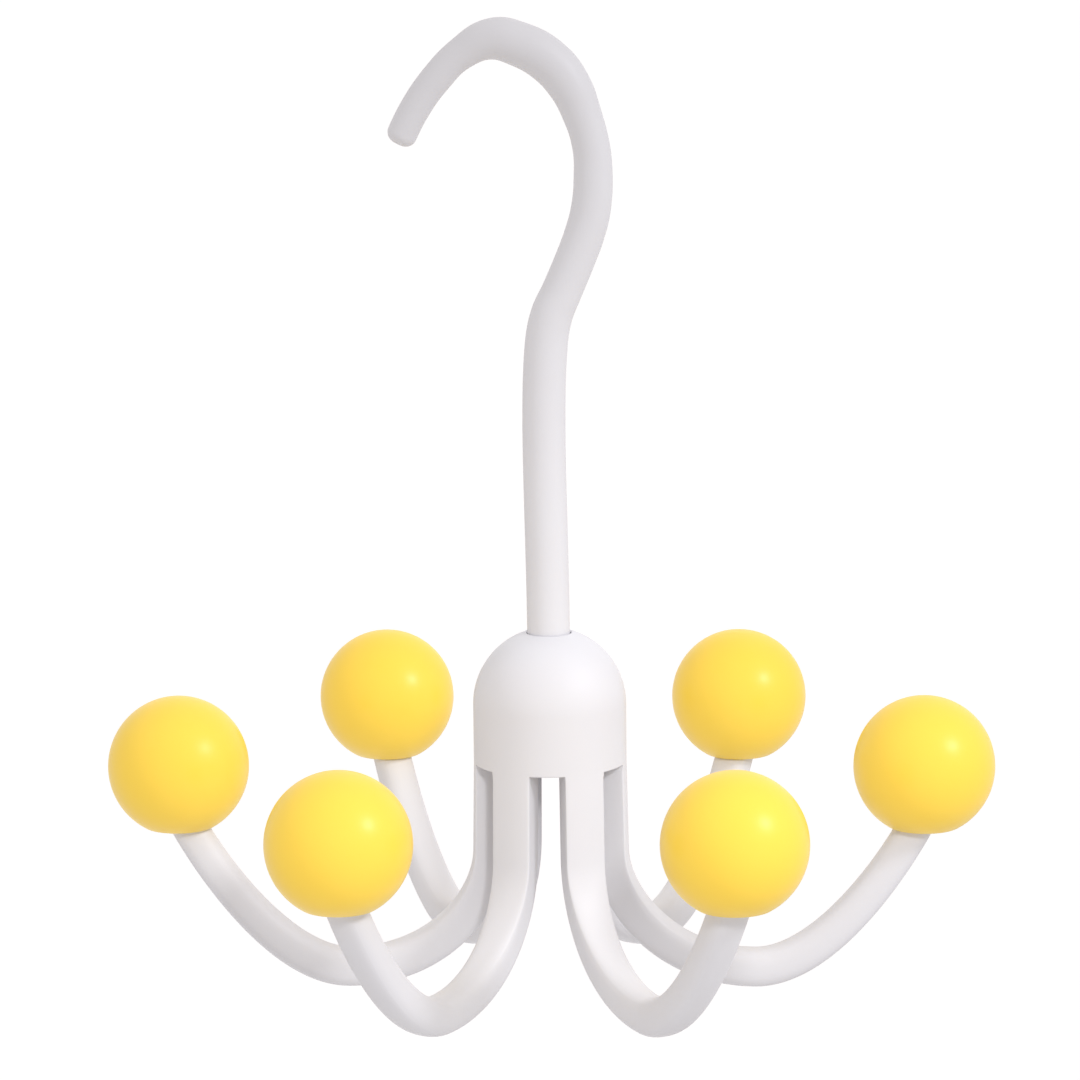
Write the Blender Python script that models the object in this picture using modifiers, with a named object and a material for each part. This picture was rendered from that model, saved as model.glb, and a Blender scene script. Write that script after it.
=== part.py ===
# A multi-hook hanger: a question-mark hook turns in the crown of a claw with six arms,
# and a hollow ball is pressed on the end of each arm.
#
# Lengths are in metres. Each piece is drawn about the swivel axis, with z = 0 at the rim of the
# claw's dome. Everything then hangs from an empty that brings the hook's seat, the inside of its
# arch, to the world origin.

from math import acos, cos, degrees, pi, radians, sin

import bmesh
import bpy
from mathutils import Matrix, Vector

MM = 0.001

# Clearances
SEAT_GAP = 0.3 * MM        # between faces that rest on each other
BORE_CLEARANCE = 0.3 * MM  # on the radius, between a pin and its hole

# Dome of the claw: a turned cap with an open cavity
DOME_RADIUS = 21.6 * MM
DOME_SKIRT = 16.6 * MM     # straight wall between the rim and the half sphere
CAVITY_RADIUS = 12.2 * MM
CROWN_THICKNESS = 7 * MM   # solid material that the journal turns in
RECESS_DEPTH = 3.2 * MM    # floor of the stem's recess, below the pole of the half sphere

# Arms of the claw
ARM_COUNT = 6
LEG_ANGLE = 33             # degrees of the rim that one leg takes up
LEG_LENGTH = 25.5 * MM     # straight leg, from the rim down to the bend
LEG_LEAN = 0.5 * MM        # outward draft over the straight leg
LOW_THICKNESS = 11 * MM    # at the bottom of the bend, in the arm's own upright plane
END_THICKNESS = 9.8 * MM   # the same, where the arm meets its ball
ARM_WIDTH = 10.8 * MM      # across that plane
ARM_DROP = 60.2 * MM       # centre line at the bottom of the bend, below the rim
ARM_LOW_RADIUS = 58 * MM   # where the bottom of the bend lies
ARM_END_SLOPE = 61         # degrees above the level, where the arm meets its ball
LEG_BEND = 16 * MM         # pull of the leg on the first bend, as a handle's length
LOW_BEND_INNER = 25 * MM   # pull of the bottom on the first bend
LOW_BEND_OUTER = 16 * MM   # pull of the bottom on the second bend
END_BEND = 23 * MM         # pull of the arm's end on the second bend
ROUNDNESS = 2.6            # power of the arm's oval section: 2 is an ellipse
SHARPNESS = 24             # the same power at the rim, where the leg has crisp corners

# Balls
BALL_DIAMETER = 40 * MM
BALL_RING_RADIUS = 105.7 * MM
BALL_DROP = 1.5 * MM       # ball centres, below the rim
BALL_WALL = 1.8 * MM
BALL_TRIM = 2.5 * MM       # height of the cap that the flat takes off
SPIGOT_DIAMETER = 5 * MM
SPIGOT_LENGTH = 9.5 * MM
SPIGOT_LAND = 0.3 * MM     # ledge of the arm's end outside the spigot
SPIGOT_ROOT = 0.4 * MM     # part of the spigot inside the arm, where its slope still covers it
SOCKET_WALL = 2.2 * MM

# Hook and stem
STEM_DIAMETER = 12 * MM
STEM_TOP = 117 * MM        # end of the straight stem, above the rim
HOOK_RISE = 87.6 * MM      # from there to the top of the centre line
HOOK_SPREAD = 54.2 * MM    # centre line, from the tip to the far side of the arch
TIP_ROUND = 2 * MM
# Centre line above the straight stem: outward in shares of the spread, upward in shares of the
# rise, and the thickness as a share of the stem's diameter.
HOOK_LINE_SHARES = (
    (0.030, 0.115, 0.98),
    (0.085, 0.195, 0.94),
    (0.150, 0.290, 0.93),
    (0.205, 0.380, 0.93),
    (0.238, 0.460, 0.92),
    (0.251, 0.565, 0.90),
    (0.242, 0.656, 0.87),
    (0.199, 0.756, 0.90),
    (0.127, 0.858, 1.01),
    (0.024, 0.932, 1.06),
    (-0.118, 0.982, 1.04),
    (-0.253, 1.000, 0.97),
    (-0.410, 0.956, 0.77),
    (-0.550, 0.870, 0.73),
    (-0.655, 0.778, 0.71),
    (-0.744, 0.670, 0.70),
)

# Journal, washer and screw inside the dome
JOURNAL_DIAMETER = 8 * MM
WASHER_DIAMETER = 16 * MM
WASHER_THICKNESS = 1.2 * MM
SCREW_DIAMETER = 4 * MM
SCREW_LENGTH = 12 * MM     # below the head
HEAD_DIAMETER = 7.6 * MM
HEAD_HEIGHT = 2.6 * MM
RECESS_ARM_WIDTH = 1 * MM  # the cross in the screw's head
RECESS_ARM_LENGTH = 4.2 * MM
CROSS_DEPTH = 1.5 * MM

OVERRUN = 2 * MM           # how far a joined or cutting shape passes the surface it meets
WELD_DISTANCE = 0.01 * MM  # points closer than this become one

# Facets
RIM_STEPS = 4
LEG_STEPS = 4
SLOT_STEPS = 4
DOME_STEPS = 9
LEG_STATIONS = 3
BEND_STATIONS = 9
BALL_STEPS = 24
BALL_UPPER_RINGS = 6       # from the pole to the ball's widest ring
BALL_LOWER_RINGS = 4       # from there to the flat
BALL_INNER_RINGS = 7
SPIGOT_STEPS = 12
PIN_STEPS = 24
HEAD_RINGS = 4
HOOK_RINGS = 3             # for each point of the line
HOOK_STEPS = 6             # for a quarter of its girth, and 2 more
TIP_RINGS = 3
SMOOTH_ANGLE = 35          # degrees between faces, above which an edge shows
CAP_EDGE_ANGLE = 60        # degrees at the edge of the hook's end

# Heights that follow from the sizes
SLOT_ANGLE = 360 / ARM_COUNT - LEG_ANGLE
STEM_RADIUS = STEM_DIAMETER / 2
RECESS_RADIUS = STEM_RADIUS + BORE_CLEARANCE
RECESS_FLOOR = DOME_SKIRT + DOME_RADIUS - RECESS_DEPTH
CEILING = RECESS_FLOOR - CROWN_THICKNESS
STEM_FOOT = RECESS_FLOOR + SEAT_GAP
JOURNAL_END = CEILING - SEAT_GAP
WASHER_TOP = JOURNAL_END - SEAT_GAP
HEAD_TOP = WASHER_TOP - WASHER_THICKNESS - SEAT_GAP
BALL_RADIUS = BALL_DIAMETER / 2
BALL_FLAT = BALL_RADIUS - BALL_TRIM
ARM_END = -BALL_DROP - BALL_FLAT - SEAT_GAP
SPIGOT_RADIUS = SPIGOT_DIAMETER / 2
ARM_END_HALF_DEPTH = END_THICKNESS / 2 / sin(radians(ARM_END_SLOPE))
ARM_END_RADIUS = BALL_RING_RADIUS + SPIGOT_RADIUS + SPIGOT_LAND - ARM_END_HALF_DEPTH

BALL_PLACES = ("right", "back_right", "back_left", "left", "front_left", "front_right")


def lerp(a, b, share):
    return a + (b - a) * share


def smooth(share):
    share = min(max(share, 0), 1)
    return share * share * (3 - 2 * share)


def material(name, colour, roughness, metallic=0.0):
    made = bpy.data.materials.new(name)
    made.use_nodes = True
    shader = made.node_tree.nodes["Principled BSDF"]
    shader.inputs["Base Color"].default_value = (*colour, 1)
    shader.inputs["Roughness"].default_value = roughness
    shader.inputs["Metallic"].default_value = metallic
    return made


def add_object(name, mesh, collection, parent=None, finish=None):
    made = bpy.data.objects.new(name, mesh)
    collection.objects.link(made)
    made.parent = parent
    if finish:
        mesh.materials.append(finish)
    return made


def shade(mesh):
    mesh.shade_smooth()
    mesh.set_sharp_from_angle(angle=radians(SMOOTH_ANGLE))


def turned(name, profile, steps, collection, parent=None, finish=None):
    """A solid of revolution: the profile runs from the top down its outer side."""
    mesh = bpy.data.meshes.new(name)
    points = [(r, 0, z) for r, z in profile]
    closed = profile[0][0] > 0
    last = len(points) - 1
    edges = [(i, i + 1) for i in range(last)] + ([(last, 0)] if closed else [])
    mesh.from_pydata(points, edges, [])
    made = add_object(name, mesh, collection, parent, finish)
    screw = made.modifiers.new("turn", "SCREW")
    screw.axis = "Z"
    screw.steps = screw.render_steps = steps
    screw.use_merge_vertices = True
    screw.merge_threshold = WELD_DISTANCE
    return made


def boolean(target, other, operation):
    modifier = target.modifiers.new(operation.lower(), "BOOLEAN")
    modifier.operation = operation
    modifier.object = other
    other.hide_render = True
    other.display_type = "WIRE"


def dome_profile():
    """Half section of the dome, closed, with the rim in short steps for the legs to grow from."""
    rim = [(lerp(CAVITY_RADIUS, DOME_RADIUS, i / RIM_STEPS), 0) for i in range(RIM_STEPS + 1)]
    top = acos(RECESS_RADIUS / DOME_RADIUS)
    cap = []
    for i in range(DOME_STEPS + 1):
        angle = top * i / DOME_STEPS
        cap.append((DOME_RADIUS * cos(angle), DOME_SKIRT + DOME_RADIUS * sin(angle)))
    bore = JOURNAL_DIAMETER / 2 + BORE_CLEARANCE
    inside = [(RECESS_RADIUS, RECESS_FLOOR), (bore, RECESS_FLOOR), (bore, CEILING), (CAVITY_RADIUS, CEILING)]
    return rim + cap + inside


def spin_dome(bm):
    """The profile swept through each leg's and each slot's angle in turn, welded at the seam."""
    start = Matrix.Rotation(-radians(LEG_ANGLE) / 2, 3, "Z")
    points = [bm.verts.new(start @ Vector((r, 0, z))) for r, z in dome_profile()]
    front = [bm.edges.new((a, b)) for a, b in zip(points, points[1:] + points[:1])]
    geometry = points + front
    for _ in range(ARM_COUNT):
        for angle, steps in ((LEG_ANGLE, LEG_STEPS), (SLOT_ANGLE, SLOT_STEPS)):
            swept = bmesh.ops.spin(
                bm, geom=geometry, cent=(0, 0, 0), axis=(0, 0, 1), angle=radians(angle), steps=steps
            )
            geometry = swept["geom_last"]
    bmesh.ops.remove_doubles(bm, verts=bm.verts, dist=WELD_DISTANCE)


def bezier(points, share):
    """Place and direction on a cubic curve in the arm's upright plane."""
    a, b, c, d = points
    rest = 1 - share
    place = a * rest**3 + b * 3 * rest**2 * share + c * 3 * rest * share**2 + d * share**3
    run = (b - a) * rest**2 + (c - b) * 2 * rest * share + (d - c) * share**2
    return place, run.normalized()


def arm_stations():
    """Places along an arm: centre, direction, how far the leg has turned oval, how far the arm has
    thinned, and how far the section has tilted from square to level. A place is (distance from
    the axis, height)."""
    middle = (CAVITY_RADIUS + DOME_RADIUS) / 2
    leg_top = Vector((middle, 0))
    leg_foot = Vector((middle + LEG_LEAN, -LEG_LENGTH))
    low = Vector((ARM_LOW_RADIUS, -ARM_DROP))
    end = Vector((ARM_END_RADIUS, ARM_END))
    rise = Vector((cos(radians(ARM_END_SLOPE)), sin(radians(ARM_END_SLOPE))))
    level = Vector((1, 0))
    down = (leg_foot - leg_top).normalized()
    inner = (leg_foot, leg_foot + down * LEG_BEND, low - level * LOW_BEND_INNER, low)
    outer = (low, low + level * LOW_BEND_OUTER, end - rise * END_BEND, end)

    stations = []
    for i in range(1, LEG_STATIONS):
        share = i / LEG_STATIONS
        stations.append((leg_top.lerp(leg_foot, share), down, 0, 0, 0))
    for i in range(BEND_STATIONS):
        place, run = bezier(inner, i / BEND_STATIONS)
        stations.append((place, run, smooth(i / BEND_STATIONS), 0, 0))
    for i in range(BEND_STATIONS + 1):
        share = i / BEND_STATIONS
        place, run = bezier(outer, share)
        stations.append((place, run, 1, smooth(share), smooth(3 * share - 2)))
    return stations


def section_point(u, v, centre, run, oval, thinned, tilt):
    """A point of the arm's section, (distance from the axis, offset across, height). u and v run
    from -1 to 1 through the thickness and across the width of the leg."""
    power = 1 / lerp(1 / SHARPNESS, 1 / ROUNDNESS, oval)
    reach = max(abs(u), abs(v))
    if reach:
        squeeze = reach / (abs(u) ** power + abs(v) ** power) ** (1 / power)
        u, v = u * squeeze, v * squeeze
    middle = (CAVITY_RADIUS + DOME_RADIUS) / 2
    radius = middle + u * (DOME_RADIUS - CAVITY_RADIUS) / 2
    turn = v * radians(LEG_ANGLE) / 2
    thickness = lerp(LOW_THICKNESS, END_THICKNESS, thinned)
    through = lerp(radius * cos(turn) - middle, u * thickness / 2, oval)
    across = lerp(radius * sin(turn), v * ARM_WIDTH / 2, oval)
    square = Vector((-run.y, run.x))
    lean = -tilt * square.y / run.y if tilt else 0
    place = centre + (square + run * lean) * through
    return place.x, across, place.y


def grow_arm(bm, azimuth, share_layer):
    """One arm drawn out of its faces on the rim, section by section."""
    half_leg = LEG_ANGLE / 2
    faces = []
    for face in bm.faces:
        middle = face.calc_center_median()
        off = degrees(Vector((cos(azimuth), sin(azimuth))).angle_signed(middle.xy))
        if abs(off) < half_leg and all(abs(vert.co.z) < SEAT_GAP / 2 for vert in face.verts):
            faces.append(face)
    for vert in {vert for face in faces for vert in face.verts}:
        off = -degrees(Vector((cos(azimuth), sin(azimuth))).angle_signed(vert.co.xy))
        depth = (vert.co.xy.length - CAVITY_RADIUS) / (DOME_RADIUS - CAVITY_RADIUS)
        vert[share_layer] = (2 * depth - 1, off / half_leg, 0)

    outward = Vector((cos(azimuth), sin(azimuth), 0))
    sideways = Vector((-sin(azimuth), cos(azimuth), 0))
    for station in arm_stations():
        grown = bmesh.ops.extrude_face_region(bm, geom=faces)["geom"]
        bmesh.ops.delete(bm, geom=[face for face in faces if face.is_valid], context="FACES")
        faces = [item for item in grown if isinstance(item, bmesh.types.BMFace)]
        for vert in {vert for face in faces for vert in face.verts}:
            u, v, _ = vert[share_layer]
            along, across, height = section_point(u, v, *station)
            vert.co = outward * along + sideways * across + Vector((0, 0, height))


def claw_body(collection, cutters, parent, finish):
    bm = bmesh.new()
    share_layer = bm.verts.layers.float_vector.new("leg_shares")
    spin_dome(bm)
    for i in range(ARM_COUNT):
        grow_arm(bm, 2 * pi * i / ARM_COUNT, share_layer)
    bmesh.ops.recalc_face_normals(bm, faces=bm.faces)
    mesh = bpy.data.meshes.new("claw_body")
    bm.to_mesh(mesh)
    bm.free()
    body = add_object("claw_body", mesh, collection, parent, finish)
    shade(mesh)

    spigots = bmesh.new()
    length = SPIGOT_LENGTH + SPIGOT_ROOT
    for i in range(ARM_COUNT):
        azimuth = 2 * pi * i / ARM_COUNT
        centre = Vector((BALL_RING_RADIUS * cos(azimuth), BALL_RING_RADIUS * sin(azimuth),
                         ARM_END + SPIGOT_LENGTH - length / 2))
        bmesh.ops.create_cone(
            spigots, cap_ends=True, segments=SPIGOT_STEPS, radius1=SPIGOT_RADIUS, radius2=SPIGOT_RADIUS,
            depth=length, matrix=Matrix.Translation(centre)
        )
    spigot_mesh = bpy.data.meshes.new("spigots")
    spigots.to_mesh(spigot_mesh)
    spigots.free()
    boolean(body, add_object("spigots", spigot_mesh, cutters, parent), "UNION")
    return body


def ball_profile():
    inner = BALL_RADIUS - BALL_WALL
    floor = BALL_WALL - BALL_FLAT
    socket = SPIGOT_RADIUS + BORE_CLEARANCE
    boss = socket + SOCKET_WALL
    boss_top = SPIGOT_LENGTH + OVERRUN - BALL_FLAT
    flat_angle = acos(BALL_FLAT / BALL_RADIUS)
    floor_angle = acos(-floor / inner)
    points = []
    for i in range(BALL_UPPER_RINGS):
        angle = pi / 2 * i / BALL_UPPER_RINGS
        points.append((BALL_RADIUS * sin(angle), BALL_RADIUS * cos(angle)))
    for i in range(BALL_LOWER_RINGS + 1):
        angle = lerp(pi / 2, pi - flat_angle, i / BALL_LOWER_RINGS)
        points.append((BALL_RADIUS * sin(angle), BALL_RADIUS * cos(angle)))
    points += [(socket, -BALL_FLAT), (socket, boss_top), (boss, boss_top), (boss, floor)]
    for i in range(BALL_INNER_RINGS + 1):
        angle = lerp(pi - floor_angle, 0, i / BALL_INNER_RINGS)
        points.append((inner * sin(angle), inner * cos(angle)))
    return points


def balls(collection, parent, finish):
    for i, place in enumerate(BALL_PLACES):
        azimuth = 2 * pi * i / ARM_COUNT
        ball = turned(f"ball_{place}", ball_profile(), BALL_STEPS, collection, parent, finish)
        ball.location = (BALL_RING_RADIUS * cos(azimuth), BALL_RING_RADIUS * sin(azimuth), -BALL_DROP)
        shade(ball.data)


def hook_points():
    """Centre line of the hook and its radius, from the foot of the stem to the tip."""
    points = [(0, STEM_FOOT, STEM_RADIUS), (0, STEM_TOP, STEM_RADIUS)]
    for out, up, thick in HOOK_LINE_SHARES:
        points.append((out * HOOK_SPREAD, STEM_TOP + up * HOOK_RISE, thick * STEM_RADIUS))
    return points


def seat():
    """Inside of the arch at its top, where a rail bears."""
    x, z, radius = max(hook_points(), key=lambda point: point[1])
    return Vector((x, 0, z - radius))


def hook(collection, cutters, parent, finish):
    curve = bpy.data.curves.new("hook_line", "CURVE")
    curve.dimensions = "3D"
    curve.resolution_u = curve.render_resolution_u = HOOK_RINGS
    curve.bevel_depth = 1
    curve.bevel_resolution = HOOK_STEPS
    curve.use_fill_caps = True
    points = hook_points()
    spline = curve.splines.new("BEZIER")
    spline.radius_interpolation = "CARDINAL"
    spline.bezier_points.add(len(points) - 1)
    for knot, (x, z, radius) in zip(spline.bezier_points, points):
        knot.co = (x, 0, z)
        knot.radius = radius
        knot.handle_left_type = knot.handle_right_type = "AUTO"
    line = add_object("hook_line", curve, cutters)
    bpy.context.view_layer.update()
    mesh = bpy.data.meshes.new_from_object(line.evaluated_get(bpy.context.evaluated_depsgraph_get()))
    bpy.data.objects.remove(line)

    bm = bmesh.new()
    bm.from_mesh(mesh)
    bmesh.ops.remove_doubles(bm, verts=bm.verts, dist=WELD_DISTANCE)
    tip = Vector((points[-1][0], 0, points[-1][1]))
    near = [edge for edge in bm.edges if (edge.verts[0].co - tip).length < STEM_DIAMETER]
    rim = [edge for edge in near if edge.calc_face_angle(0) > radians(CAP_EDGE_ANGLE)]
    bmesh.ops.bevel(bm, geom=rim, offset=TIP_ROUND, segments=TIP_RINGS, profile=0.5, affect="EDGES")
    bmesh.ops.recalc_face_normals(bm, faces=bm.faces)
    bm.to_mesh(mesh)
    bm.free()
    mesh.name = "hook"
    body = add_object("hook", mesh, collection, parent, finish)
    shade(mesh)

    journal = pin("journal", JOURNAL_DIAMETER / 2, JOURNAL_END, STEM_FOOT + OVERRUN, cutters, parent)
    boolean(body, journal, "UNION")
    pilot_radius = SCREW_DIAMETER / 2 + BORE_CLEARANCE
    pilot_top = HEAD_TOP + SCREW_LENGTH + SEAT_GAP
    pilot = pin("pilot_hole", pilot_radius, JOURNAL_END - OVERRUN, pilot_top, cutters, parent)
    boolean(body, pilot, "DIFFERENCE")
    return body


def pin(name, radius, low, high, collection, parent):
    profile = [(0, high), (radius, high), (radius, low), (0, low)]
    return turned(name, profile, PIN_STEPS, collection, parent)


def washer(collection, parent, finish):
    hole = SCREW_DIAMETER / 2 + BORE_CLEARANCE
    low = WASHER_TOP - WASHER_THICKNESS
    profile = [(hole, WASHER_TOP), (WASHER_DIAMETER / 2, WASHER_TOP), (WASHER_DIAMETER / 2, low), (hole, low)]
    return turned("retaining_washer", profile, PIN_STEPS, collection, parent, finish)


def screw(collection, cutters, parent, finish):
    shank = SCREW_DIAMETER / 2
    head = HEAD_DIAMETER / 2
    point = HEAD_TOP + SCREW_LENGTH
    low = HEAD_TOP - HEAD_HEIGHT
    profile = [(0, point), (shank, point - shank), (shank, HEAD_TOP), (head, HEAD_TOP)]
    for i in range(HEAD_RINGS + 1):
        angle = pi / 2 * i / HEAD_RINGS
        profile.append((head * (1 + cos(angle)) / 2, low + HEAD_HEIGHT / 2 * (1 - sin(angle))))
    profile.append((0, low))
    body = turned("retaining_screw", profile, PIN_STEPS, collection, parent, finish)

    for size in ((RECESS_ARM_LENGTH, RECESS_ARM_WIDTH), (RECESS_ARM_WIDTH, RECESS_ARM_LENGTH)):
        slot = bmesh.new()
        depth = CROSS_DEPTH + OVERRUN
        place = Matrix.Translation((0, 0, low + CROSS_DEPTH - depth / 2))
        bmesh.ops.create_cube(slot, size=1, matrix=place @ Matrix.Diagonal((*size, depth, 1)))
        slot_mesh = bpy.data.meshes.new("cross_slot")
        slot.to_mesh(slot_mesh)
        slot.free()
        boolean(body, add_object("cross_slot", slot_mesh, cutters, parent), "DIFFERENCE")
    return body


def main():
    for old in list(bpy.data.objects):
        bpy.data.objects.remove(old)
    collection = bpy.data.collections.new("multi_hook_hanger")
    cutters = bpy.data.collections.new("cutters")
    bpy.context.scene.collection.children.link(collection)
    bpy.context.scene.collection.children.link(cutters)

    white = material("white moulded plastic", (0.88, 0.88, 0.90), 0.35)
    yellow = material("yellow moulded plastic", (0.95, 0.68, 0.10), 0.4)
    steel = material("zinc-plated steel", (0.55, 0.55, 0.57), 0.35, 1.0)

    axis = add_object("swivel_axis", None, collection)
    axis.location = -seat()
    claw_body(collection, cutters, axis, white)
    balls(collection, axis, yellow)
    hook(collection, cutters, axis, white)
    washer(collection, axis, steel)
    screw(collection, cutters, axis, steel)


main()
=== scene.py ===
# Multi-hook hanger: a white question-mark hook turns in the crown of a white claw, whose six arms
# each carry a yellow hollow ball. Everything is built about the swivel axis, in metres.
from math import acos, asin, cos, degrees, pi, radians, sin, tan

import bmesh
import bpy
from mathutils import Matrix, Quaternion, Vector


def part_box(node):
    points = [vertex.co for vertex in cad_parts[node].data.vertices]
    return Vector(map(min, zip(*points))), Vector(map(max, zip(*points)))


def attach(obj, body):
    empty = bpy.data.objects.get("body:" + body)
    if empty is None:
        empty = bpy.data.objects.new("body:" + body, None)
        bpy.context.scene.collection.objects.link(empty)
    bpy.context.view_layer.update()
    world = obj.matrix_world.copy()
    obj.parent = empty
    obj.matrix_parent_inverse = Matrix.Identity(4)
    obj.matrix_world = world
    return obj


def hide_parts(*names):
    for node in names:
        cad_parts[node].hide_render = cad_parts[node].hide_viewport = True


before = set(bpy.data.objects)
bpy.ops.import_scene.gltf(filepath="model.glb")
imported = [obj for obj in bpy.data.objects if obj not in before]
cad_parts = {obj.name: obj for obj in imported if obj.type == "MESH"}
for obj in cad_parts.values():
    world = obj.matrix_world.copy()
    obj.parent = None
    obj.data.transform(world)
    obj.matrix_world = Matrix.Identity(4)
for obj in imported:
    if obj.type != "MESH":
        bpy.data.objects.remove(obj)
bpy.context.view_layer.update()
mm = 0.001
hair = 0.001 * mm                  # points closer than this are one point

# The claw's box says where the swivel axis stands and how high the dome's rim is
clawLow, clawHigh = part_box("claw_body")
axisPlace = Vector(((clawLow.x + clawHigh.x) / 2, (clawLow.y + clawHigh.y) / 2, 0))


# Materials

def linear(hexColour):
    # sRGB hex to linear red, green, blue, alpha
    made = []
    for i in (0, 2, 4):
        part = int(hexColour[i:i + 2], 16) / 255
        made.append(part / 12.92 if part <= 0.04045 else ((part + 0.055) / 1.055) ** 2.4)
    return (*made, 1)


def addNode(tree, kind, inputs=None, **settings):
    # A node with its settings; an input takes a value, or another node's output to link
    node = tree.nodes.new(kind)
    for name, value in settings.items():
        setattr(node, name, value)
    for socket, value in (inputs or {}).items():
        if isinstance(value, bpy.types.NodeSocket):
            tree.links.new(value, node.inputs[socket])
        else:
            node.inputs[socket].default_value = value
    return node


def perMetre(millimetres):
    # Texture scale for a pattern that repeats about every so many millimetres
    return 1 / (millimetres * mm)


def newMaterial(name):
    made = bpy.data.materials.new(name)
    made.use_nodes = True
    made.node_tree.nodes.clear()
    return made, made.node_tree


# What the white and the yellow mouldings share
mouldedSkin = {
    "cloudDetail": 3,
    "cloudRoughness": 0.5,
    "cloudRange": (0.3, 0.7),      # nearly all of the noise lies between these
    "roughnessSpread": 0.04,
    "grainDetail": 2,
    "grainRoughness": 0.6,
    "grainDepth": 0.03,
    "grainStrength": 0.5,
    "edgeRange": (0.5, 0.56),      # pointiness of a flat face and of a clear edge
}


def mouldedPlastic(name, look):
    # Flow clouds in colour and gloss, the fine grain of the mould's wall, and edges that handling
    # has rubbed a little smoother
    look = {**mouldedSkin, **look}
    made, tree = newMaterial(name)
    place = addNode(tree, "ShaderNodeTexCoord").outputs["Object"]
    own = addNode(tree, "ShaderNodeObjectInfo").outputs["Random"]
    shifted = addNode(tree, "ShaderNodeVectorMath", {0: place, 1: own}, operation="ADD").outputs[0]
    cloud = addNode(tree, "ShaderNodeTexNoise", {
        "Vector": shifted, "Scale": perMetre(look["cloudSize"]),
        "Detail": look["cloudDetail"], "Roughness": look["cloudRoughness"],
    }).outputs["Fac"]
    grain = addNode(tree, "ShaderNodeTexNoise", {
        "Vector": shifted, "Scale": perMetre(look["grainSize"]),
        "Detail": look["grainDetail"], "Roughness": look["grainRoughness"],
    }).outputs["Fac"]
    edge = addNode(tree, "ShaderNodeMapRange", {
        "Value": addNode(tree, "ShaderNodeNewGeometry").outputs["Pointiness"],
        "From Min": look["edgeRange"][0], "From Max": look["edgeRange"][1],
    }).outputs["Result"]
    colour = addNode(tree, "ShaderNodeMix", {
        0: cloud, 6: linear(look["colour"]), 7: linear(look["colourInClouds"]),
    }, data_type="RGBA").outputs[2]
    gloss = addNode(tree, "ShaderNodeMapRange", {
        "Value": cloud, "From Min": look["cloudRange"][0], "From Max": look["cloudRange"][1],
        "To Min": look["roughness"] - look["roughnessSpread"],
        "To Max": look["roughness"] + look["roughnessSpread"],
    }).outputs["Result"]
    rubbed = addNode(tree, "ShaderNodeMath", {
        0: edge, 1: -look["edgePolish"], 2: gloss,
    }, operation="MULTIPLY_ADD").outputs[0]
    bump = addNode(tree, "ShaderNodeBump", {
        "Height": grain, "Strength": look["grainStrength"], "Distance": look["grainDepth"] * mm,
    }).outputs["Normal"]
    shader = addNode(tree, "ShaderNodeBsdfPrincipled", {
        "Base Color": colour, "Roughness": rubbed, "Normal": bump,
        "IOR": look["ior"], "Specular IOR Level": look["shine"],
        "Subsurface Weight": look["translucency"], "Subsurface Scale": look["lightDepth"] * mm,
        "Subsurface Radius": look["lightSpread"],
    })
    addNode(tree, "ShaderNodeOutputMaterial", {"Surface": shader.outputs[0]})
    return made


# Polypropylene from a fine spark-eroded mould: milky white, semi-gloss, soft broad highlights
whitePlastic = mouldedPlastic("white moulded polypropylene", {
    "colour": "DFDFE2",
    "colourInClouds": "DCDBDE",
    "cloudSize": 22,
    "roughness": 0.52,
    "edgePolish": 0.08,
    "grainSize": 0.35,             # the real grain is about 0.05 mm, too fine to show
    "ior": 1.49,
    "shine": 0.5,                  # 0.5 is the full reflection of that IOR
    "translucency": 0.05,
    "lightDepth": 1.5,
    "lightSpread": (1.0, 0.95, 0.9),
})

# Thin hollow ABS mouldings: a strong warm yellow, satin, with one small soft highlight
yellowPlastic = mouldedPlastic("yellow moulded ABS", {
    "colour": "FFDA54",
    "colourInClouds": "FFD74C",
    "cloudSize": 18,
    "roughness": 0.34,
    "edgePolish": 0.05,
    "grainSize": 0.4,              # drawn coarse too
    "ior": 1.52,
    "shine": 0.3,                  # the fine matt grain holds back part of the reflection
    "translucency": 0.03,
    "lightDepth": 0.8,
    "lightSpread": (1.0, 0.5, 0.2),
})


def zincPlating():
    # Bright zinc on pressed steel: a cool grey metal with a faint blue and straw mottle
    look = {
        "colour": "C9CCD1",
        "straw": "C8C2AE",
        "mottleSize": 3,
        "mottleDetail": 4,
        "brushSize": 0.25,         # real scratches are finer than the render can show
        "brushDetail": 2,
        "brushTwist": 1.5,
        "brushDepth": 0.01,
        "brushStrength": 0.15,
        "roughness": (0.2, 0.4),
    }
    made, tree = newMaterial("bright zinc-plated steel")
    place = addNode(tree, "ShaderNodeTexCoord").outputs["Object"]
    mottle = addNode(tree, "ShaderNodeTexNoise", {
        "Vector": place, "Scale": perMetre(look["mottleSize"]), "Detail": look["mottleDetail"],
    }).outputs["Fac"]
    brushed = addNode(tree, "ShaderNodeTexNoise", {
        "Vector": place, "Scale": perMetre(look["brushSize"]),
        "Detail": look["brushDetail"], "Distortion": look["brushTwist"],
    }).outputs["Fac"]
    colour = addNode(tree, "ShaderNodeMix", {
        0: mottle, 6: linear(look["colour"]), 7: linear(look["straw"]),
    }, data_type="RGBA").outputs[2]
    gloss = addNode(tree, "ShaderNodeMapRange", {
        "Value": brushed, "To Min": look["roughness"][0], "To Max": look["roughness"][1],
    }).outputs["Result"]
    bump = addNode(tree, "ShaderNodeBump", {
        "Height": brushed, "Strength": look["brushStrength"], "Distance": look["brushDepth"] * mm,
    }).outputs["Normal"]
    shader = addNode(tree, "ShaderNodeBsdfPrincipled", {
        "Base Color": colour, "Roughness": gloss, "Normal": bump, "Metallic": 1,
    })
    addNode(tree, "ShaderNodeOutputMaterial", {"Surface": shader.outputs[0]})
    return made


zincSteel = zincPlating()
print("materials done")


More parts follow.
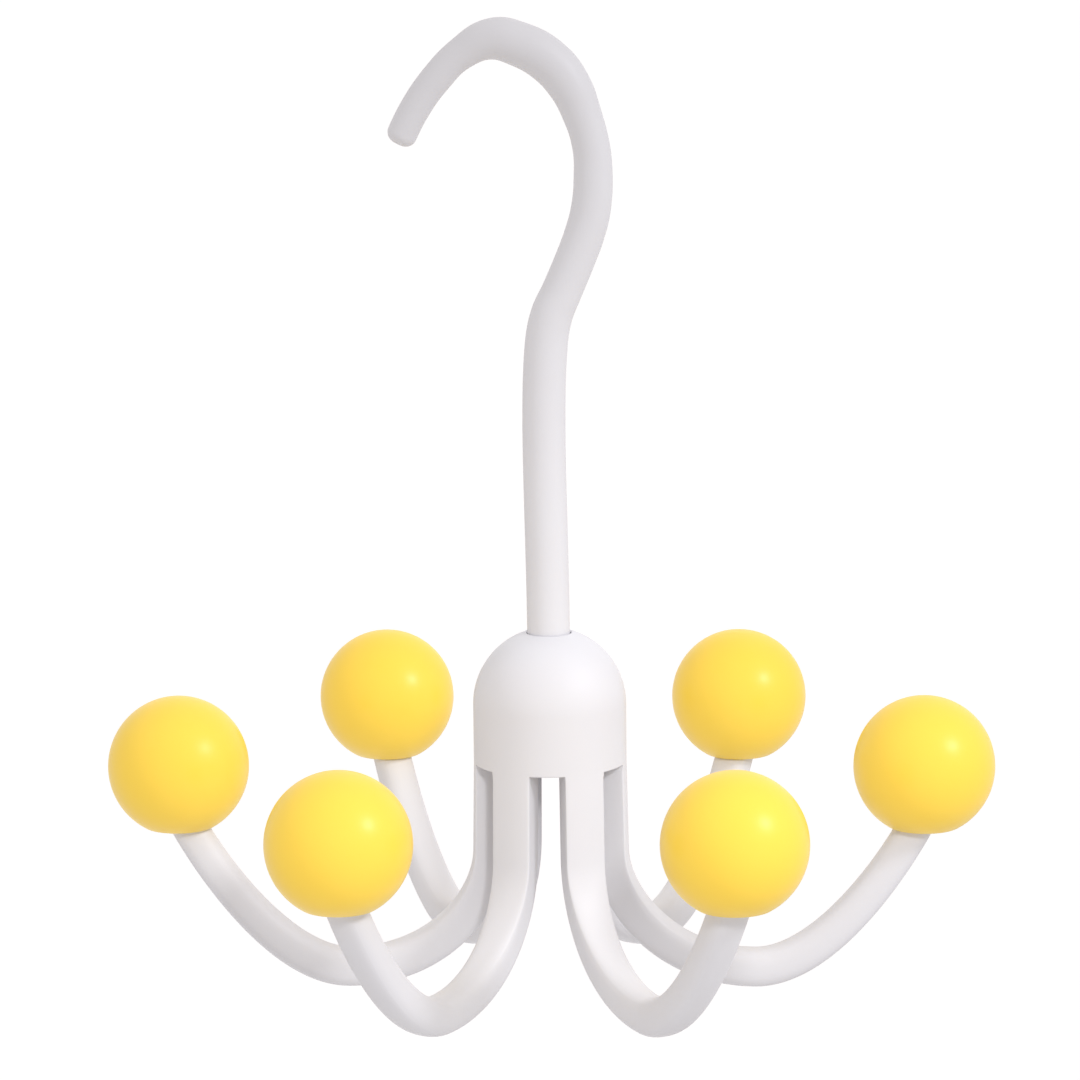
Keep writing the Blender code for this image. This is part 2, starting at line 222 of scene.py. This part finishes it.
# Shaping that several pieces share

def mix(a, b, share):
    return a + (b - a) * share


def ease(share):
    share = min(max(share, 0), 1)
    return share * share * (3 - 2 * share)


def crowded(steps):
    # Shares from 0 to 1 that lie close together at both ends, for tight corners
    return [0.5 - 0.5 * cos(pi * i / steps) for i in range(steps + 1)]


def rounded(points, steps=5):
    # A line of (radius, height, rounding): each corner with a rounding becomes an arc
    line = []
    for i, (x, z, radius) in enumerate(points):
        if not radius:
            line.append((x, z))
            continue
        here = Vector((x, z))
        before = (Vector(points[i - 1][:2]) - here).normalized()
        after = (Vector(points[(i + 1) % len(points)][:2]) - here).normalized()
        half = before.angle(after) / 2
        centre = here + (before + after).normalized() * radius / sin(half)
        start = here + before * radius / tan(half) - centre
        turn = (here + after * radius / tan(half) - centre).angle_signed(start)
        for j in range(steps + 1):
            place = centre + Matrix.Rotation(turn * j / steps, 2) @ start
            line.append((place.x, place.y))
    return line


def arc(radius, centreHeight, startAngle, endAngle, steps):
    # Angles from the level; points (distance from the axis, height, no rounding)
    made = []
    for i in range(steps + 1):
        angle = radians(mix(startAngle, endAngle, i / steps))
        made.append((radius * cos(angle), centreHeight + radius * sin(angle), 0))
    return made


def turned(bm, line, steps, closed):
    # Turns a line of (radius, height) once round the Z axis, on which a point stays one vert
    rings = []
    for x, z in line:
        if x < hair:
            rings.append([bm.verts.new((0, 0, z))] * steps)
        else:
            angles = [2 * pi * k / steps for k in range(steps)]
            rings.append([bm.verts.new((x * cos(a), x * sin(a), z)) for a in angles])
    if closed:
        rings.append(rings[0])
    for ring, after in zip(rings, rings[1:]):
        for k in range(steps):
            corners = dict.fromkeys((ring[k - 1], ring[k], after[k], after[k - 1]))
            bm.faces.new(list(corners))


def nextRing(bm, ring, places):
    # Joins a ring of verts to a new ring at these places, and returns the new one
    made = [bm.verts.new(place) for place in places]
    for i in range(len(made)):
        bm.faces.new((ring[i - 1], ring[i], made[i], made[i - 1]))
    return made


def drawOut(bm, ring, centre, line):
    # Carries a ring of verts on along a line of (radius, height) about an upright axis and closes it
    directions = [(vert.co - centre).to_2d().normalized() for vert in ring]
    for radius, height in line:
        ring = nextRing(bm, ring, [
            (*(centre.to_2d() + way * radius), height) for way in directions
        ])
    bm.faces.new(ring)


def fitToNode(mesh, node):
    # A finer mesh may bulge past the CAD solid's facets by a hair, so its box is made the same
    low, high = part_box(node)
    places = [vert.co for vert in mesh.vertices]
    mine = [(min(p[i] for p in places), max(p[i] for p in places)) for i in range(3)]
    scale = [(high[i] - low[i]) / (mine[i][1] - mine[i][0]) for i in range(3)]
    for vert in mesh.vertices:
        vert.co = [low[i] + (vert.co[i] - mine[i][0]) * scale[i] for i in range(3)]


def addPiece(bm, name, place, material, body, node):
    # An object of the mesh, moved to its place, which stands in for the CAD node
    bmesh.ops.recalc_face_normals(bm, faces=bm.faces)
    bm.transform(Matrix.Translation(place))
    mesh = bpy.data.meshes.new(name)
    bm.to_mesh(mesh)
    bm.free()
    fitToNode(mesh, node)
    mesh.materials.append(material)
    mesh.shade_smooth()
    piece = bpy.data.objects.new(name, mesh)
    bpy.context.scene.collection.objects.link(piece)
    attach(piece, body)
    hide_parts(node)
    return piece


def evenNormals(piece):
    # Keeps flat faces flat to the eye beside a rounded edge
    piece.modifiers.new("even normals", "WEIGHTED_NORMAL").keep_sharp = True


# Claw: the dome and its six arms, one moulding

claw = {
    "arms": 6,
    "domeRadius": 21.6 * mm,
    "skirt": 16.6 * mm,            # straight wall between the rim and the half sphere
    "cavityRadius": 12.2 * mm,
    "crown": 7 * mm,               # solid material that the journal turns in
    "recessDepth": 3.2 * mm,       # floor of the stem's recess below the half sphere's pole
    "recessRadius": 6.3 * mm,
    "boreRadius": 4.3 * mm,
    "edge": 0.35 * mm,             # rounding of the slots' and the recess's edges
    "legAngle": 33,                # degrees of the rim
    "legLength": 25.5 * mm,
    "legLean": 0.5 * mm,
    "lowThickness": 11 * mm,       # at the bottom of the bend, in the arm's upright plane
    "endThickness": 9.8 * mm,      # the same, at the ball
    "width": 10.8 * mm,            # across that plane
    "drop": 60.2 * mm,             # centre line at the bottom of the bend, below the rim
    "lowRadius": 58 * mm,
    "endSlope": 61,                # degrees above the level
    "legBend": 16 * mm,            # pulls of the two curves at their ends
    "lowBendInner": 25 * mm,
    "lowBendOuter": 16 * mm,
    "endBend": 23 * mm,
    "roundness": 2.6,              # power of the oval section: 2 is an ellipse
    "sharpness": 24,               # the same at the leg, which has crisp corners
    "crispBelowRim": 2 * mm,       # over this height the leg's corners go from sharp to crisp
    "endEdge": 0.25 * mm,          # rounding of the end face, less than the spigot's land
    # How finely the mesh is divided
    "rimEdgeSteps": 6,
    "rimSteps": 10,
    "domeSteps": 40,
    "wallSteps": 6,
    "legColumns": 24,
    "slotColumns": 16,
    "legSections": (0.01, 0.02, 0.04, 0.08, 0.15, 0.3, 0.45, 0.6, 0.8),
    "bendSections": 48,
    "endSteps": 4,
}
ball = {
    "places": ("right", "back_right", "back_left", "left", "front_left", "front_right"),
    "radius": 20 * mm,
    "ringRadius": 105.7 * mm,
    "drop": 1.5 * mm,              # centre below the rim
    "trim": 2.5 * mm,              # height of the cap that the flat takes off
    "wall": 1.8 * mm,
    "flatEdge": 2 * mm,            # rounding between the ball and its flat
    "socketRadius": 2.8 * mm,
    "socketWall": 2.2 * mm,
    "socketDepth": 11.5 * mm,
    "gap": 0.3 * mm,               # between the flat and the arm's end
    "outsideSteps": 60,
    "insideSteps": 30,
    "segments": 96,
}
spigot = {
    "radius": 2.5 * mm,
    "length": 9.5 * mm,
    "land": 0.3 * mm,              # arm's end left bare outside the spigot
}
rimPlace = axisPlace + Vector((0, 0, clawLow.z + claw["drop"] + claw["lowThickness"] / 2))
legMiddle = (claw["cavityRadius"] + claw["domeRadius"]) / 2
armEnd = -ball["drop"] - ball["radius"] + ball["trim"] - ball["gap"]


def rimLine(isSlot):
    # From the cavity's wall across the rim to the dome's wall. In a slot both edges are rounded;
    # over a leg they are square, with as many points.
    inner, outer, r = claw["cavityRadius"], claw["domeRadius"], claw["edge"]
    innerEdge, outerEdge = [], []
    for i in range(claw["rimEdgeSteps"] + 1):
        share = i / claw["rimEdgeSteps"]
        if isSlot:
            along, up = r * (1 - sin(pi / 2 * share)), r * (1 - cos(pi / 2 * share))
        else:
            along, up = r * max(1 - 2 * share, 0), r * max(2 * share - 1, 0)
        innerEdge.append((inner + along, up))
        outerEdge.append((outer - along, up))
    steps = claw["rimSteps"]
    across = [(mix(inner + r, outer - r, i / steps), 0) for i in range(1, steps)]
    return innerEdge[::-1] + across + outerEdge


def domeLine(isSlot):
    # Once round the dome's section: rim, wall, half sphere, recess, bore, ceiling, cavity
    pole = claw["skirt"] + claw["domeRadius"]
    floor = pole - claw["recessDepth"]
    ceiling = floor - claw["crown"]
    brim = degrees(acos(claw["recessRadius"] / claw["domeRadius"]))
    r = claw["edge"]
    cap = arc(claw["domeRadius"], claw["skirt"], 0, brim, claw["domeSteps"])
    cap[-1] = (*cap[-1][:2], r)
    steps = claw["wallSteps"]
    wall = [(claw["domeRadius"], mix(r, claw["skirt"], i / steps), 0) for i in range(1, steps)]
    inside = [
        (claw["recessRadius"], floor, r), (claw["boreRadius"], floor, r),
        (claw["boreRadius"], ceiling, r), (claw["cavityRadius"], ceiling, 3 * r),
        (claw["cavityRadius"], ceiling / 2, 0),
    ]
    return rimLine(isSlot) + rounded(wall + cap + inside)


def armCurve(points, share):
    # Place and direction on a cubic curve in the arm's upright plane
    a, b, c, d = points
    rest = 1 - share
    place = a * rest**3 + b * 3 * rest**2 * share + c * 3 * rest * share**2 + d * share**3
    run = (b - a) * rest**2 + (c - b) * 2 * rest * share + (d - c) * share**2
    return place, run.normalized()


def armStations():
    # Along an arm: centre, direction, crispness of the corners, how far the leg has turned oval,
    # how far the arm has thinned, and how far the section has tilted from square to level
    slope = radians(claw["endSlope"])
    endRadius = ball["ringRadius"] + spigot["radius"] + spigot["land"]
    endRadius -= claw["endThickness"] / 2 / sin(slope)
    top = Vector((legMiddle, 0))
    foot = Vector((legMiddle + claw["legLean"], -claw["legLength"]))
    low = Vector((claw["lowRadius"], -claw["drop"]))
    end = Vector((endRadius, armEnd))
    rise = Vector((cos(slope), sin(slope)))
    level = Vector((1, 0))
    down = (foot - top).normalized()
    inner = (foot, foot + down * claw["legBend"], low - level * claw["lowBendInner"], low)
    outer = (low, low + level * claw["lowBendOuter"], end - rise * claw["endBend"], end)

    stations = []
    for share in claw["legSections"]:
        crisp = ease(share * claw["legLength"] / claw["crispBelowRim"])
        stations.append((top.lerp(foot, share), down, crisp, 0, 0, 0))
    sections = claw["bendSections"]
    for i in range(sections):
        place, run = armCurve(inner, i / sections)
        stations.append((place, run, 1, ease(i / sections), 0, 0))
    for i in range(sections + 1):
        share = i / sections
        place, run = armCurve(outer, share)
        tilt = ease(3 * share - 2)     # only in the last third
        stations.append((place, run, 1, 1, ease(share), tilt))
    return stations


def sectionPoint(u, v, centre, run, crisp, oval, thinned, tilt):
    # A point of the arm's section: (distance from the axis, offset across, height). u and v run
    # from -1 to 1 through the thickness and across the width of the leg.
    power = 1 / mix(1 / claw["sharpness"], 1 / claw["roundness"], oval)
    squeeze = max(abs(u), abs(v)) / (abs(u) ** power + abs(v) ** power) ** (1 / power)
    squeeze = mix(1, squeeze, crisp)
    u, v = u * squeeze, v * squeeze
    radius = legMiddle + u * (claw["domeRadius"] - claw["cavityRadius"]) / 2
    turn = v * radians(claw["legAngle"]) / 2
    thickness = mix(claw["lowThickness"], claw["endThickness"], thinned)
    through = mix(radius * cos(turn) - legMiddle, u * thickness / 2, oval)
    across = mix(radius * sin(turn), v * claw["width"] / 2, oval)
    square = Vector((-run.y, run.x))
    lean = -tilt * square.y / run.y if tilt else 0
    place = centre + (square + run * lean) * through
    return place.x, across, place.y


def growArm(bm, azimuth, ring):
    # One arm, section by section, from its ring of (vert, u, v) on the rim
    outward = Vector((cos(azimuth), sin(azimuth), 0))
    sideways = Vector((-sin(azimuth), cos(azimuth), 0))
    up = Vector((0, 0, 1))

    def sectionPlaces(station):
        made = []
        for _, u, v in ring:
            along, across, height = sectionPoint(u, v, *station)
            made.append(outward * along + sideways * across + up * height)
        return made

    stations = armStations()
    verts = [vert for vert, _, _ in ring]
    for station in stations[:-1]:
        verts = nextRing(bm, verts, sectionPlaces(station))

    # The end face with its rounded edge
    places = sectionPlaces(stations[-1])
    run = stations[-1][1]
    back = outward * run.x / run.y + up
    middle = sum(places, Vector()) / len(places)
    for i in range(claw["endSteps"] + 1):
        angle = pi / 2 * i / claw["endSteps"]
        low = back * claw["endEdge"] * (1 - sin(angle))
        inset = claw["endEdge"] * (1 - cos(angle))
        verts = nextRing(bm, verts, [p - low - (p - middle).normalized() * inset for p in places])

    # The spigot, drawn out of the end face about the ball's own axis
    top = armEnd + spigot["length"]
    pin = rounded([(spigot["radius"], armEnd, 0), (spigot["radius"], top, claw["edge"]), (0, top, 0)])
    drawOut(bm, verts, outward * ball["ringRadius"], pin[:-1])


def buildClaw():
    bm = bmesh.new()
    legHalf = claw["legAngle"] / 2
    pitch = 360 / claw["arms"]
    slotLine, legLine = domeLine(True), domeLine(False)
    onRim = [j for j, (x, z) in enumerate(legLine[:len(rimLine(False))]) if abs(z) < hair]
    legShares = crowded(claw["legColumns"])

    # The dome, column by column: angle, line, and whether a leg grows up to the next column
    columns = []
    for arm in range(claw["arms"]):
        for share in legShares:
            angle = pitch * arm + mix(-legHalf, legHalf, share)
            columns.append((angle, legLine, share < 1))
        for share in crowded(claw["slotColumns"])[1:-1]:
            angle = pitch * arm + mix(legHalf, pitch - legHalf, share)
            columns.append((angle, slotLine, False))
    grid = []
    for angle, line, _ in columns:
        a = radians(angle)
        grid.append([bm.verts.new((x * cos(a), x * sin(a), z)) for x, z in line])
    for k, column in enumerate(grid):
        after = grid[(k + 1) % len(grid)]
        for j in range(len(column)):
            if columns[k][2] and onRim[0] <= j < onRim[-1]:
                continue
            ahead = (j + 1) % len(column)
            bm.faces.new((column[j], after[j], after[ahead], column[ahead]))

    # Round each leg's foot on the rim, with every vert's shares through and across the leg
    wall = claw["domeRadius"] - claw["cavityRadius"]
    through = [2 * (x - claw["cavityRadius"]) / wall - 1 for x, _ in legLine]
    across = [2 * share - 1 for share in legShares]
    perArm = len(grid) // claw["arms"]
    for arm in range(claw["arms"]):
        leg = grid[arm * perArm:][:len(legShares)]
        ring = [(column[onRim[-1]], 1, v) for column, v in zip(leg, across)]
        ring += [(leg[-1][j], through[j], 1) for j in onRim[-2:0:-1]]
        ring += [(column[onRim[0]], -1, v) for column, v in zip(leg[::-1], across[::-1])]
        ring += [(leg[0][j], through[j], -1) for j in onRim[1:-1]]
        growArm(bm, radians(pitch * arm), ring)

    evenNormals(addPiece(
        bm, "claw_moulding", rimPlace, whitePlastic, "claw", "claw_body",
    ))


buildClaw()
print("claw done")


# Balls: thin hollow mouldings, each pressed on its arm's spigot

def ballLine():
    flat = ball["trim"] - ball["radius"]
    inner = ball["radius"] - ball["wall"]
    bossRadius = ball["socketRadius"] + ball["socketWall"]
    bossTop = flat + ball["socketDepth"]
    floor = flat + ball["wall"]
    brim = degrees(asin(flat / ball["radius"]))
    outside = arc(ball["radius"], 0, 90, brim, ball["outsideSteps"])
    outside[-1] = (*outside[-1][:2], ball["flatEdge"])
    socket = [
        (ball["socketRadius"], flat, claw["edge"]), (ball["socketRadius"], bossTop, 0),
        (bossRadius, bossTop, 0), (bossRadius, floor, 0),
    ]
    inside = arc(inner, 0, degrees(asin(floor / inner)), 90, ball["insideSteps"])
    return rounded(outside + socket) + [point[:2] for point in inside]


def buildBalls():
    for i, side in enumerate(ball["places"]):
        azimuth = 2 * pi * i / len(ball["places"])
        reach = ball["ringRadius"]
        centre = rimPlace + Vector((reach * cos(azimuth), reach * sin(azimuth), -ball["drop"]))
        bm = bmesh.new()
        turned(bm, ballLine(), ball["segments"], False)
        evenNormals(addPiece(
            bm, f"ball_shell_{side}", centre, yellowPlastic, "claw", f"ball_{side}",
        ))


buildBalls()
print("balls done")


# Hook: question-mark hook, stem and the journal that the claw turns on

hook = {
    "stemRadius": 6 * mm,
    "stemFoot": 35.3 * mm,         # heights above the rim
    "stemTop": 117 * mm,
    "rise": 87.6 * mm,             # from the stem's top to the arch's
    "spread": 54.2 * mm,
    "tipRound": 3 * mm,
    "footEdge": 0.4 * mm,
    "journalRadius": 4 * mm,
    "journalEnd": 27.7 * mm,
    "pilotRadius": 2.3 * mm,       # hole for the screw
    "pilotDepth": 10.5 * mm,
    "stepsAlong": 16,
    "stepsRound": 14,
    "endSteps": 9,
    # Centre line above the straight stem: outward in shares of the spread, upward in shares of
    # the rise, thickness in shares of the stem
    "line": (
        (0.030, 0.115, 0.98), (0.085, 0.195, 0.94), (0.150, 0.290, 0.93), (0.205, 0.380, 0.93),
        (0.238, 0.460, 0.92), (0.251, 0.565, 0.90), (0.242, 0.656, 0.87), (0.199, 0.756, 0.90),
        (0.127, 0.858, 1.01), (0.024, 0.932, 1.06), (-0.118, 0.982, 1.04), (-0.253, 1.000, 0.97),
        (-0.410, 0.956, 0.77), (-0.550, 0.870, 0.73), (-0.655, 0.778, 0.71), (-0.744, 0.670, 0.70),
    ),
}


def hookTube():
    # A round tube along the hook's line, with its own thickness at each point
    stem = hook["stemRadius"]
    points = [(0, hook["stemFoot"], stem), (0, hook["stemTop"], stem)]
    for out, up, thick in hook["line"]:
        points.append((out * hook["spread"], hook["stemTop"] + up * hook["rise"], thick * stem))
    curve = bpy.data.curves.new("hook line", "CURVE")
    curve.dimensions = "3D"
    curve.resolution_u = curve.render_resolution_u = hook["stepsAlong"]
    curve.bevel_depth = 1
    curve.bevel_resolution = hook["stepsRound"]
    curve.use_fill_caps = True
    spline = curve.splines.new("BEZIER")
    spline.radius_interpolation = "CARDINAL"
    spline.bezier_points.add(len(points) - 1)
    for knot, (x, z, radius) in zip(spline.bezier_points, points):
        knot.co = (x, 0, z)
        knot.radius = radius
        knot.handle_left_type = knot.handle_right_type = "AUTO"
    line = bpy.data.objects.new("hook line", curve)
    bpy.context.scene.collection.objects.link(line)
    bpy.context.view_layer.update()
    evaluated = line.evaluated_get(bpy.context.evaluated_depsgraph_get())
    tube = bpy.data.meshes.new_from_object(evaluated)
    bpy.data.objects.remove(line)

    bm = bmesh.new()
    bm.from_mesh(tube)
    bpy.data.meshes.remove(tube)
    bmesh.ops.remove_doubles(bm, verts=bm.verts, dist=hair)
    bmesh.ops.dissolve_faces(bm, faces=[face for face in bm.faces if len(face.verts) == 3])
    bmesh.ops.recalc_face_normals(bm, faces=bm.faces)
    return bm


def endFaces(bm):
    # The round faces at the tube's ends, the stem's foot first
    ends = [face for face in bm.faces if len(face.verts) > 4]
    return sorted(ends, key=lambda face: face.calc_center_median().z)


def roundEnd(bm, centre, facing, radius, rounding):
    # Cuts rings close to a round end and draws them in along a quarter circle
    steps = hook["endSteps"]
    for i in range(1, steps + 1):
        depth = rounding * (1 - cos(pi / 2 * i / steps))
        near = [face for face in bm.faces if (face.calc_center_median() - centre).length < 4 * radius]
        geometry = dict.fromkeys(item for face in near for item in (face, *face.edges, *face.verts))
        bmesh.ops.bisect_plane(
            bm, geom=list(geometry), dist=hair, plane_co=centre - facing * depth, plane_no=facing
        )
    for vert in bm.verts:
        out = vert.co - centre
        depth = -out.dot(facing)
        if depth < rounding and out.length < 2 * radius:
            middle = centre - facing * depth
            drawnIn = rounding - (rounding**2 - (rounding - max(depth, 0)) ** 2) ** 0.5
            vert.co = middle + (vert.co - middle) * (1 - drawnIn / radius)


def buildHook():
    bm = hookTube()
    ends = [
        (face.calc_center_median(), face.normal.copy(), face.verts[0].co.copy())
        for face in endFaces(bm)
    ]
    for (centre, facing, edge), rounding in zip(ends, (hook["footEdge"], hook["tipRound"])):
        roundEnd(bm, centre, facing, (edge - centre).length, rounding)

    # Journal below the stem, with the pilot hole for the screw, drawn out of the stem's foot
    foot = endFaces(bm)[0]
    ring = list(foot.verts)
    bmesh.ops.delete(bm, geom=[foot], context="FACES_ONLY")
    radius, end, pilot = hook["journalRadius"], hook["journalEnd"], hook["pilotRadius"]
    drawOut(bm, ring, Vector(), rounded([
        (radius, hook["stemFoot"], 0), (radius, end, hook["footEdge"]), (pilot, end, 0),
        (pilot, end + hook["pilotDepth"], 0),
    ]))
    evenNormals(addPiece(
        bm, "hook_moulding", rimPlace, whitePlastic, "hook", "hook",
    ))


buildHook()
print("hook done")


# Washer and screw that hold the claw on the journal, seen from below

fastener = {
    "washerTop": 27.4 * mm,        # heights above the rim
    "washerRadius": 8 * mm,
    "washerHole": 2.3 * mm,
    "washerThickness": 1.2 * mm,
    "washerEdge": 0.25 * mm,
    "washerSegments": 96,
    "headTop": 25.9 * mm,
    "headRadius": 3.8 * mm,
    "headHeight": 2.6 * mm,
    "shankRadius": 2 * mm,
    "length": 12 * mm,
    "slotWidth": 1 * mm,
    "slotLength": 4.2 * mm,
    "slotDepth": 1.5 * mm,
    "slotTaper": 0.7,              # size at the recess's bottom
    "headSteps": 16,
    "screwSegments": 64,
    "sharpAngle": 40,
}


def buildWasher():
    top = fastener["washerTop"]
    low = top - fastener["washerThickness"]
    hole, outer, edge = fastener["washerHole"], fastener["washerRadius"], fastener["washerEdge"]
    line = rounded([(hole, top, edge), (outer, top, edge), (outer, low, edge), (hole, low, edge)])
    bm = bmesh.new()
    turned(bm, line, fastener["washerSegments"], True)
    evenNormals(addPiece(
        bm, "washer_plated", rimPlace, zincSteel, "hook", "retaining_washer",
    ))


def cutSlot(screw, low, length, width):
    # One arm of the cross recess, from the head's underside up; it narrows towards its bottom
    place = Matrix.Translation(rimPlace + Vector((0, 0, low)))
    size = Matrix.Diagonal((length, width, 2 * fastener["slotDepth"], 1))
    bm = bmesh.new()
    bmesh.ops.create_cube(bm, size=1, matrix=place @ size)
    for vert in bm.verts:
        if vert.co.z > rimPlace.z + low:
            vert.co.x = mix(rimPlace.x, vert.co.x, fastener["slotTaper"])
            vert.co.y = mix(rimPlace.y, vert.co.y, fastener["slotTaper"])
    mesh = bpy.data.meshes.new("recess")
    bm.to_mesh(mesh)
    bm.free()
    cutter = bpy.data.objects.new("recess", mesh)
    bpy.context.scene.collection.objects.link(cutter)
    cut = screw.modifiers.new("recess", "BOOLEAN")
    cut.operation = "DIFFERENCE"
    cut.object = cutter
    bpy.context.view_layer.update()
    evaluated = screw.evaluated_get(bpy.context.evaluated_depsgraph_get())
    screw.modifiers.remove(cut)
    screw.data = bpy.data.meshes.new_from_object(evaluated)
    bpy.data.objects.remove(cutter)


def buildScrew():
    top, shank, head = fastener["headTop"], fastener["shankRadius"], fastener["headRadius"]
    height, steps = fastener["headHeight"], fastener["headSteps"]
    low = top - height
    point = top + fastener["length"]
    line = [(0, point), (shank, point - shank), (shank, top), (head, top)]
    for i in range(steps + 1):
        angle = pi / 2 * i / steps
        line.append((head * (1 + cos(angle)) / 2, low + height / 2 * (1 - sin(angle))))
    line.append((0, low))
    bm = bmesh.new()
    turned(bm, line, fastener["screwSegments"], False)
    screw = addPiece(
        bm, "screw_plated", rimPlace, zincSteel, "hook", "retaining_screw",
    )
    length, width = fastener["slotLength"], fastener["slotWidth"]
    cutSlot(screw, low, length, width)
    cutSlot(screw, low, width, length)
    screw.data.shade_smooth()
    screw.data.set_sharp_from_angle(angle=radians(fastener["sharpAngle"]))


buildWasher()
buildScrew()
print("washer and screw done")


# Studio: pale floor, white surroundings, a key from the upper right, a fill in front, one behind

studio = {
    "floorHeight": -0.62,
    "floorSize": 60,
    "floorColour": "F4F4F4",
    "floorBrightness": 1.04,       # just over white, so that nothing but the shadow shows
    "ambient": 0.79,
    "ambientColour": "FFFBFB",
}
# Soft-edged spots on the claw: the hook's arch above it stays a shade greyer. Only the key shows
# in gloss, and the lamp behind lifts the back and the upper edges.
lamps = {
    "key": {
        "place": (1.14, -0.66, 0.72), "aim": (0, 0, -0.24), "radius": 0.15, "power": 33.5,
        "colour": "F6F8FF", "cone": 24, "softEdge": 1, "inGloss": True,
    },
    "fill": {
        "place": (0.35, -1.4, 0.51), "aim": (0.01, 0, -0.3), "radius": 0.1, "power": 31,
        "colour": "FBFCFF", "cone": 17.5, "softEdge": 0.55, "inGloss": False,
    },
    "back": {
        "place": (0.13, 1.52, 0.5), "aim": (0, 0, -0.24), "radius": 0.15, "power": 32,
        "colour": "FBFCFF", "cone": 24, "softEdge": 1, "inGloss": False,
    },
}
white = linear("FFFFFF")


def whiteRays(tree):
    # 1 for rays that see the surroundings: straight, mirrored or refracted
    path = addNode(tree, "ShaderNodeLightPath")
    seen = addNode(tree, "ShaderNodeMath", {
        0: path.outputs["Is Camera Ray"], 1: path.outputs["Is Glossy Ray"],
    }, operation="MAXIMUM").outputs[0]
    return addNode(tree, "ShaderNodeMath", {
        0: seen, 1: path.outputs["Is Transmission Ray"],
    }, operation="MAXIMUM").outputs[0]


def mixShaders(tree, share, one, other):
    return addNode(tree, "ShaderNodeMixShader", {
        0: share, 1: one.outputs[0], 2: other.outputs[0],
    })


def buildWorld():
    # Seen as white, and a little dimmer where it lights the object
    world = bpy.data.worlds.new("white surroundings")
    bpy.context.scene.world = world
    world.use_nodes = True
    tree = world.node_tree
    tree.nodes.clear()
    lighting = addNode(tree, "ShaderNodeBackground", {
        "Color": linear(studio["ambientColour"]), "Strength": studio["ambient"],
    })
    seen = addNode(tree, "ShaderNodeBackground", {"Color": white, "Strength": 1})
    both = mixShaders(tree, whiteRays(tree), lighting, seen)
    addNode(tree, "ShaderNodeOutputWorld", {"Surface": both.outputs[0]})


def floorPaint():
    # Matt paint; its own light tops the lit colour up to white, and the shadow stays. From below
    # the floor is clear.
    made, tree = newMaterial("white floor")
    colour = linear(studio["floorColour"])
    matt = addNode(tree, "ShaderNodeBsdfDiffuse", {"Color": colour})
    glow = addNode(tree, "ShaderNodeEmission", {
        "Color": white, "Strength": studio["floorBrightness"] - colour[0] * studio["ambient"],
    })
    topped = addNode(tree, "ShaderNodeAddShader", {0: matt.outputs[0], 1: glow.outputs[0]})
    both = mixShaders(tree, whiteRays(tree), matt, topped)
    fromBelow = addNode(tree, "ShaderNodeNewGeometry").outputs["Backfacing"]
    oneSided = mixShaders(tree, fromBelow, both, addNode(tree, "ShaderNodeBsdfTransparent"))
    addNode(tree, "ShaderNodeOutputMaterial", {"Surface": oneSided.outputs[0]})
    return made


def buildFloor():
    bm = bmesh.new()
    bmesh.ops.create_grid(bm, x_segments=1, y_segments=1, size=studio["floorSize"] / 2)
    mesh = bpy.data.meshes.new("floor")
    bm.to_mesh(mesh)
    bm.free()
    mesh.materials.append(floorPaint())
    floor = bpy.data.objects.new("floor", mesh)
    floor.location.z = studio["floorHeight"]
    bpy.context.scene.collection.objects.link(floor)


def aimAlong(thing, direction):
    # Lamps and cameras look down their own -Z
    thing.rotation_mode = "QUATERNION"
    thing.rotation_quaternion = direction.to_track_quat("-Z", "Y")


def buildLamps():
    for name, look in lamps.items():
        lamp = bpy.data.lights.new(name, "SPOT")
        lamp.shadow_soft_size = look["radius"]
        lamp.spot_size = radians(look["cone"])
        lamp.spot_blend = look["softEdge"]
        lamp.energy = look["power"]
        lamp.color = linear(look["colour"])[:3]
        holder = bpy.data.objects.new(name, lamp)
        holder.location = look["place"]
        holder.visible_glossy = look["inGloss"]
        aimAlong(holder, Vector(look["aim"]) - holder.location)
        bpy.context.scene.collection.objects.link(holder)


buildWorld()
buildFloor()
buildLamps()
print("studio done")


# Camera where the photograph was taken from, fitted to the six balls and the stem

view = {
    "azimuth": 2.5589,             # degrees to the right of the front
    "elevation": 10.8171,
    "distance": 1.4802,
    "target": (0.011465, 0, -0.135149),
    "roll": 0.6,
    "lens": 175.61,
    "sensor": 36,
}


def buildCamera():
    azimuth, elevation = radians(view["azimuth"]), radians(view["elevation"])
    back = Vector((sin(azimuth) * cos(elevation), -cos(azimuth) * cos(elevation), sin(elevation)))
    camera = bpy.data.objects.new("camera", bpy.data.cameras.new("camera"))
    camera.data.lens = view["lens"]
    camera.data.sensor_width = view["sensor"]
    camera.location = Vector(view["target"]) + back * view["distance"]
    aimAlong(camera, -back)
    camera.rotation_quaternion = Quaternion(-back, radians(view["roll"])) @ camera.rotation_quaternion
    bpy.context.scene.collection.objects.link(camera)
    bpy.context.scene.camera = camera


buildCamera()
bpy.context.scene.view_settings.view_transform = "Standard"
print("camera done")
